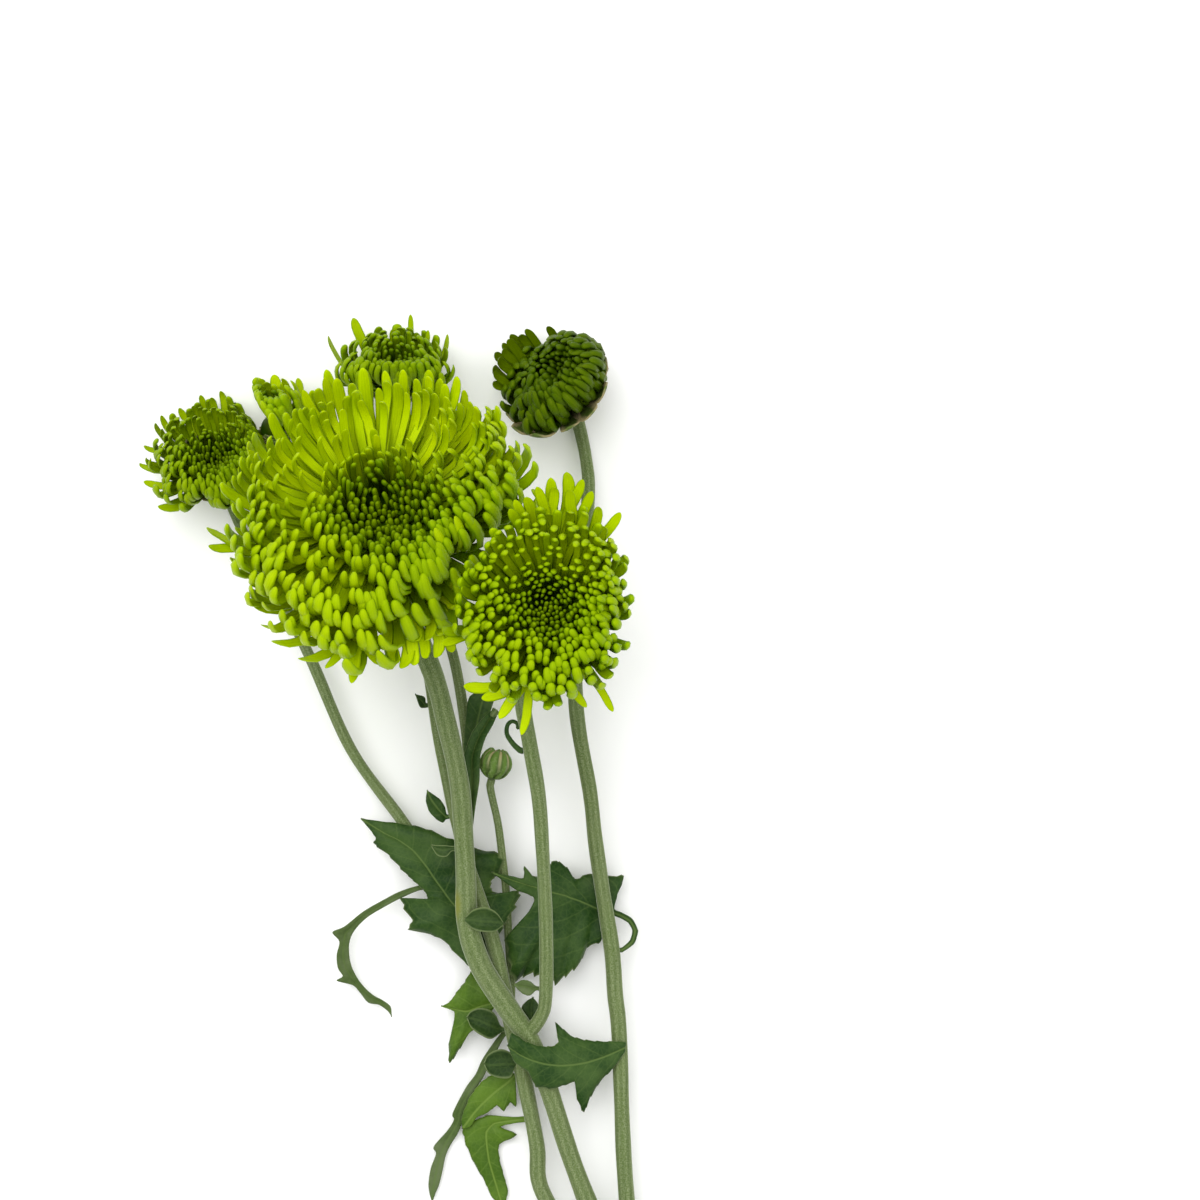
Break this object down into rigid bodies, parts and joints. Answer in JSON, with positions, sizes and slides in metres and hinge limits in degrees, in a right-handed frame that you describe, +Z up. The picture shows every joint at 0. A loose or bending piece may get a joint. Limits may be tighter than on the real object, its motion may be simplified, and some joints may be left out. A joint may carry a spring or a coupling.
{
  "type": "pompon chrysanthemum",
  "caption": "Cut spray of a lime green chrysanthemum, with open and half-open heads of quilled florets, a closed bud, lobed leaves and a slanting cut stem, lying on its back",
  "frame": {"origin": "middle of the bounding box seen from above, on the surface that the spray lies on", "axes": "+Y runs from the cut foot of the stem to the heads, +X is to the right as seen from above, +Z is up, away from the surface that the spray lies on"},
  "size_m": [0.1352, 0.2957, 0.0742],
  "materials": {
    "floret": "lime green florets with a soft gloss, yellower towards the tips",
    "young_floret": "deeper green, tightly curled young florets",
    "calyx": "brownish green bracts with papery edges",
    "stem": "grey-green ribbed stem with fine pale down",
    "leaf": "dark green leaf with paler veins and a grey-green underside",
    "bud": "green ribbed bud with pale stripes"
  },
  "bodies": {
    "root": {"big_bloom": "floret", "front_bloom": "floret", "left_bloom": "floret", "top_bloom": "floret", "side_bloom": "young_floret", "rear_bloom": "floret", "big_calyx": "calyx", "front_calyx": "calyx", "left_calyx": "calyx", "top_calyx": "calyx", "side_calyx": "calyx", "rear_calyx": "calyx", "stem": "stem", "bud": "bud", "broad_leaf": "leaf", "hanging_leaf": "leaf", "dark_leaf": "leaf", "front_leaf": "leaf", "upright_leaf_back": "leaf", "upright_leaf_front": "leaf", "pointed_leaf": "leaf", "cupped_leaflet": "leaf", "small_cupped_leaflet": "leaf", "small_bract": "leaf", "upper_round_leaflet": "leaf", "lower_round_leaflet": "leaf", "pale_leaf": "leaf", "long_leaf": "leaf", "fingered_leaf": "leaf", "bright_leaf": "leaf", "inner_leaflet": "leaf", "grey_leaflet": "leaf", "tendril": "leaf"}
  },
  "joints": []
}
